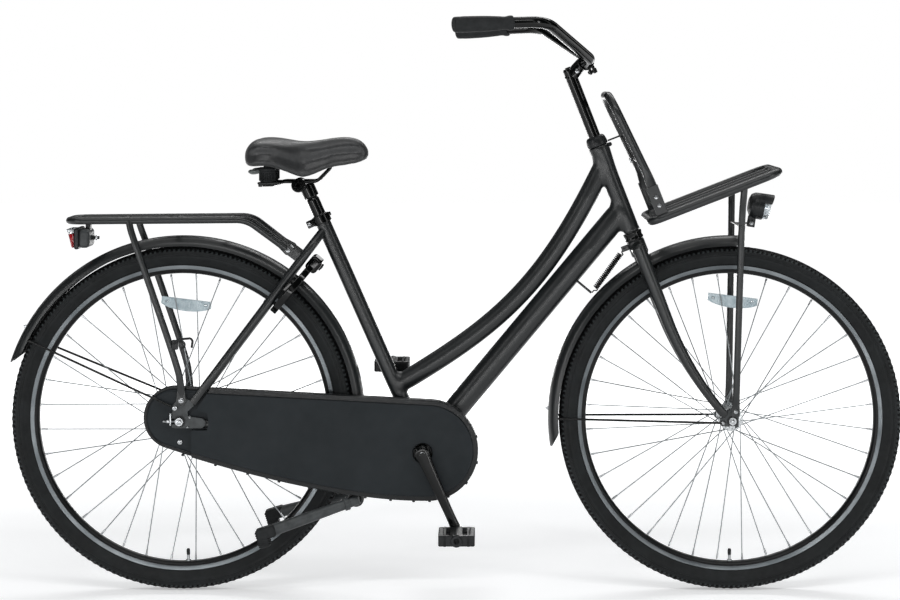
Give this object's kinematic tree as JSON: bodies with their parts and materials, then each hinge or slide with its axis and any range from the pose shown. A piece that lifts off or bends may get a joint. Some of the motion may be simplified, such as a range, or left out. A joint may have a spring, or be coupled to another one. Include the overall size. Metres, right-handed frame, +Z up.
{
  "type": "cargo bike",
  "caption": "Step-through transport bicycle with front carrier on the fork, rear carrier, full fenders, closed chain case, ring lock, centre stand and lamps.",
  "frame": {"origin": "on the ground, midway between the two wheel axles", "axes": "+X towards the front wheel, +Y to the rider's left, +Z up"},
  "size_m": [1.8462, 0.6604, 1.1808],
  "materials": {
    "frame_paint": "matte black paint",
    "gloss_paint": "gloss black paint",
    "case_vinyl": "satin moulded plastic",
    "black_plastic": "satin moulded plastic",
    "tyre_rubber": "matte rubber",
    "grip_rubber": "matte rubber",
    "saddle_skin": "satin coated cover",
    "zinc_steel": "bright zinc-plated steel",
    "rim_metal": "black coating over aluminium",
    "chain_steel": "oiled steel",
    "red_lens": "clear red plastic",
    "clear_lens": "clear fluted plastic",
    "reflector": "prismatic plastic"
  },
  "bodies": {
    "frame": {"main_frame": "frame_paint", "rear_stays": "frame_paint", "lower_head_cup": "gloss_paint", "seat_collar": "gloss_paint", "bottom_bracket_cartridge": "zinc_steel", "chain_case": "case_vinyl", "chain_case_end_cap": "case_vinyl", "chain": "chain_steel", "rear_fender": "frame_paint", "rear_fender_stay": "gloss_paint", "rear_carrier": "frame_paint", "rear_lamp_body": "black_plastic", "rear_lamp_lens": "red_lens", "ring_lock_body": "black_plastic", "stand_bracket": "frame_paint", "rear_axle": "zinc_steel", "brake_arm": "zinc_steel", "chain_tensioner_right": "zinc_steel", "chain_tensioner_left": "zinc_steel", "steering_spring": "gloss_paint"},
    "steering": {"fork": "frame_paint", "front_carrier": "frame_paint", "front_backrest": "frame_paint", "backrest_stay": "gloss_paint", "front_fender": "frame_paint", "front_fender_stay": "gloss_paint", "front_axle": "zinc_steel", "head_cap": "black_plastic"},
    "front_wheel": {"front_hub": "zinc_steel", "front_rim": "rim_metal", "front_tyre": "tyre_rubber", "front_inner_tube": "tyre_rubber", "front_reflector": "reflector"},
    "rear_wheel": {"rear_hub": "zinc_steel", "rear_rim": "rim_metal", "rear_tyre": "tyre_rubber", "rear_inner_tube": "tyre_rubber", "rear_reflector": "reflector"},
    "driver": {"rear_sprocket": "chain_steel"},
    "crank_set": {"crank_spindle": "zinc_steel", "chainring": "chain_steel", "crank_right": "gloss_paint", "crank_left": "gloss_paint"},
    "right_pedal": {"pedal_right": "black_plastic"},
    "left_pedal": {"pedal_left": "black_plastic"},
    "stand": {"stand_legs": "black_plastic"},
    "bow": {"lock_bow": "zinc_steel"},
    "post": {"seat_post": "gloss_paint"},
    "saddle": {"saddle_clamp": "gloss_paint", "saddle_rails": "gloss_paint", "saddle_base": "black_plastic", "saddle_cover": "saddle_skin", "saddle_spring_right": "black_plastic", "saddle_spring_left": "black_plastic"},
    "quill_stem": {"stem": "gloss_paint"},
    "bar": {"handlebar": "gloss_paint", "grip_right": "grip_rubber", "grip_left": "grip_rubber"},
    "headlamp": {"headlamp_body": "black_plastic", "headlamp_lens": "clear_lens"}
  },
  "joints": [
    {"name": "steering", "type": "hinge", "parent": "frame", "child": "steering", "pos_m": [0.36314, 0, 0.74058], "axis": [-0.3633, 0, 0.9317], "range_deg": [-60, 60], "deforming": ["steering_spring"]},
    {"name": "front_wheel_spin", "type": "hinge", "parent": "steering", "child": "front_wheel", "pos_m": [0.566, 0, 0.356], "axis": [0, 1, 0], "continuous": true},
    {"name": "rear_wheel_spin", "type": "hinge", "parent": "frame", "child": "rear_wheel", "pos_m": [-0.566, 0, 0.356], "axis": [0, 1, 0], "continuous": true},
    {"name": "crank_spin", "type": "hinge", "parent": "frame", "child": "crank_set", "pos_m": [-0.0686, 0, 0.292], "axis": [0, 1, 0], "continuous": true},
    {"name": "driver_spin", "type": "hinge", "parent": "frame", "child": "driver", "pos_m": [-0.566, 0, 0.356], "axis": [0, 1, 0], "continuous": true},
    {"name": "pedal_right_spin", "type": "hinge", "parent": "crank_set", "child": "right_pedal", "pos_m": [0.0019, -0.0845, 0.13731], "axis": [0, 1, 0], "continuous": true},
    {"name": "pedal_left_spin", "type": "hinge", "parent": "crank_set", "child": "left_pedal", "pos_m": [-0.1391, 0.0845, 0.44669], "axis": [0, 1, 0], "continuous": true},
    {"name": "kickstand_fold", "type": "hinge", "parent": "frame", "child": "stand", "pos_m": [-0.207, 0, 0.191], "axis": [0, -1, 0], "range_deg": [0, 80]},
    {"name": "lock_bow_turn", "type": "hinge", "parent": "frame", "child": "bow", "pos_m": [-0.34027, 0, 0.62217], "axis": [-0.7627, 0, 0.6468], "range_deg": [0, 85]},
    {"name": "seat_height", "type": "slide", "parent": "frame", "child": "post", "axis": [-0.4067, 0, 0.9135], "range_m": [-0.035, 0.08]},
    {"name": "saddle_tilt", "type": "hinge", "parent": "post", "child": "saddle", "pos_m": [-0.32597, 0, 0.83708], "axis": [0, 1, 0], "range_deg": [-12, 12]},
    {"name": "stem_height", "type": "slide", "parent": "steering", "child": "quill_stem", "axis": [-0.3633, 0, 0.9317], "range_m": [-0.03, 0.03]},
    {"name": "handlebar_roll", "type": "hinge", "parent": "quill_stem", "child": "bar", "pos_m": [0.26752, 0, 1.09184], "axis": [0, 1, 0], "range_deg": [-30, 30]},
    {"name": "headlamp_tilt", "type": "hinge", "parent": "steering", "child": "headlamp", "pos_m": [0.61037, 0, 0.758], "axis": [0, 1, 0], "range_deg": [-15, 15]}
  ],
  "couplings": [
    {"joint": "driver_spin", "follows": "crank_spin", "ratio": 2}
  ]
}
